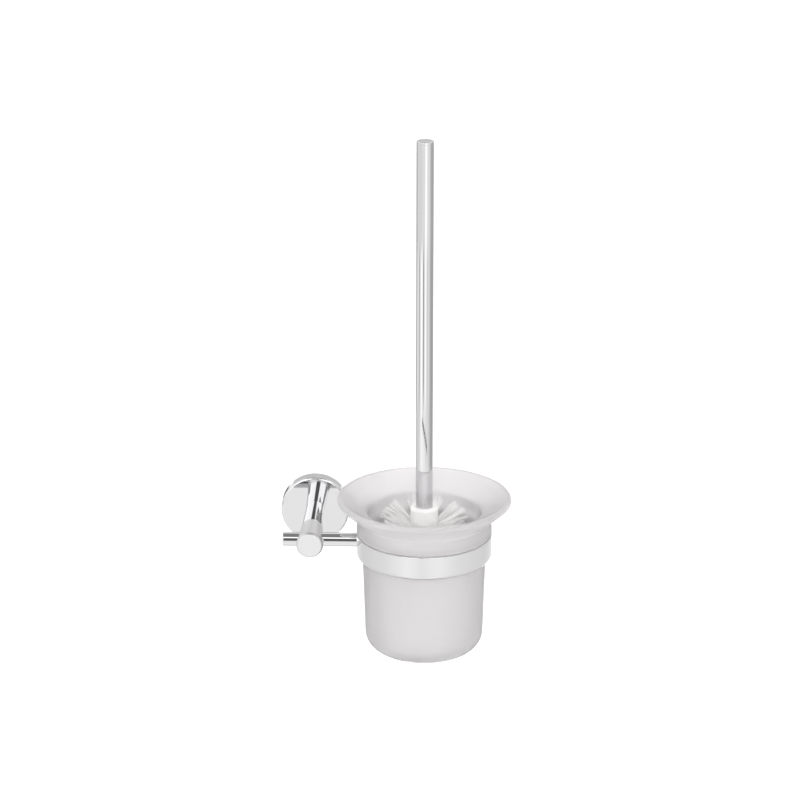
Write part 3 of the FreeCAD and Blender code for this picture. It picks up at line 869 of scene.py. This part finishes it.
def filament_mesh():
    """A straight filament one unit long along Z and one unit in radius."""
    bm = bmesh.new()
    bmesh.ops.create_circle(bm, cap_ends=True, segments=3, radius=1.0)
    face = bm.faces[:][0]
    for _ in range(FILAMENT_STEPS):
        grown = bmesh.ops.extrude_face_region(bm, geom=[face])["geom"]
        fresh = [item for item in grown if isinstance(item, bmesh.types.BMVert)]
        bmesh.ops.delete(bm, geom=[face], context="FACES_KEEP_BOUNDARY")
        face = next(item for item in grown if isinstance(item, bmesh.types.BMFace))
        bmesh.ops.translate(bm, verts=fresh, vec=(0, 0, 1 / FILAMENT_STEPS))
    bmesh.ops.holes_fill(bm, edges=bm.edges, sides=3)
    bmesh.ops.recalc_face_normals(bm, faces=bm.faces)
    mesh = bpy.data.meshes.new("filament")
    bm.to_mesh(mesh)
    bm.free()
    return mesh


filament = filament_mesh()
print("one filament:", len(filament.polygons), "faces")

# %% Rows of tufts
ROWS = 8
TUFTS = 10
FILAMENTS = 30
ROW_PITCH = 9.0 * MM
TUFT_FAN = math.radians(28)
TUFT_REACH = 34.0 * MM
TUFT_ROOT_RADIUS = 1.2 * MM
TUFT_ROOT_DEPTH = 1.5 * MM
TUFT_TIP_RADIUS = 4.6 * MM
MEASURED_TIP_RADIUS = 3.8 * MM
SHORTEST_FILAMENT = 0.95
FILAMENT_BOW = (0.01, 0.05)
FILAMENT_TAPER = 0.3
core_radius = radius_of("brush_core", "X")
lowest_bristle = reach("bristle_row_1", "Z")[0]
first_row = (
    lowest_bristle + TUFT_REACH * math.sin(TUFT_FAN) + MEASURED_TIP_RADIUS * math.cos(TUFT_FAN)
)
SEED = 7
chance = random.Random(SEED)


def in_disc(radius):
    """A random point in a disc, evenly spread."""
    angle = chance.uniform(0, math.tau)
    away = radius * math.sqrt(chance.random())
    return away * math.cos(angle), away * math.sin(angle)


def place_filament(bm, root, tip):
    """Adds one filament from root to tip, turned by chance about its own line and slightly bent."""
    known = len(bm.verts)
    bm.from_mesh(filament)
    bm.verts.ensure_lookup_table()
    fresh = bm.verts[known:]
    run = tip - root
    bow = run.length * chance.uniform(*FILAMENT_BOW)
    for vert in fresh:
        along = vert.co.z
        slim = FILAMENT_RADIUS * (1.0 - FILAMENT_TAPER * along)
        # A parabola that is 0 at both ends and bow in the middle.
        sideways = bow * 4 * along * (1 - along)
        vert.co = Vector((vert.co.x * slim + sideways, vert.co.y * slim, along * run.length))
    facing = run.to_track_quat("Z", "Y").to_matrix().to_4x4()
    spun = Matrix.Rotation(chance.uniform(0, math.tau), 4, "Z")
    bmesh.ops.transform(bm, matrix=Matrix.Translation(root) @ facing @ spun, verts=fresh)


for row in range(ROWS):
    bm = bmesh.new()
    tilt = TUFT_FAN * (2 * row / (ROWS - 1) - 1)
    centre = Vector((*cup_axis, first_row + row * ROW_PITCH))
    for tuft in range(TUFTS):
        heading = math.tau * (tuft + 0.5 * ((row + 1) % 2)) / TUFTS
        outward = Vector((
            math.cos(heading) * math.cos(tilt), math.sin(heading) * math.cos(tilt), math.sin(tilt),
        ))
        side = outward.cross(Vector((0, 0, 1))).normalized()
        above = side.cross(outward)
        for _ in range(FILAMENTS):
            across, upwards = in_disc(1.0)
            spread = side * across + above * upwards
            root = centre + outward * (core_radius - TUFT_ROOT_DEPTH) + spread * TUFT_ROOT_RADIUS
            length = TUFT_REACH * chance.uniform(SHORTEST_FILAMENT, 1.0)
            tip = centre + outward * length + spread * TUFT_TIP_RADIUS
            tip.z = max(tip.z, lowest_bristle + FILAMENT_RADIUS)
            place_filament(bm, root, tip)
    bristles = finish_piece(f"bristles_{row + 1}", bm, nylon)
    hand_over(bristles, "brush", f"bristle_row_{row + 1}")
    print(bristles.name, len(bristles.data.polygons), "faces")

# %% [markdown]
# ## Pieces that keep their measured shape
#
# The bracket, the screws, the sleeve, the insert and the brush's core are right as they are. They
# only get their finish.

# %% Finishes for the nodes that stay
KEPT = {
    "wall_bracket": steel,
    "flange_grub_screw": steel,
    "head_grub_screw": steel,
    "post_screw": steel,
    "ring_screw": steel,
    "brush_stud": steel,
    "handle_insert": brass,
    "seat_sleeve": vinyl,
    "brush_core": white_plastic,
}
for node, material in KEPT.items():
    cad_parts[node].data.materials[0] = material
print("kept:", ", ".join(KEPT))
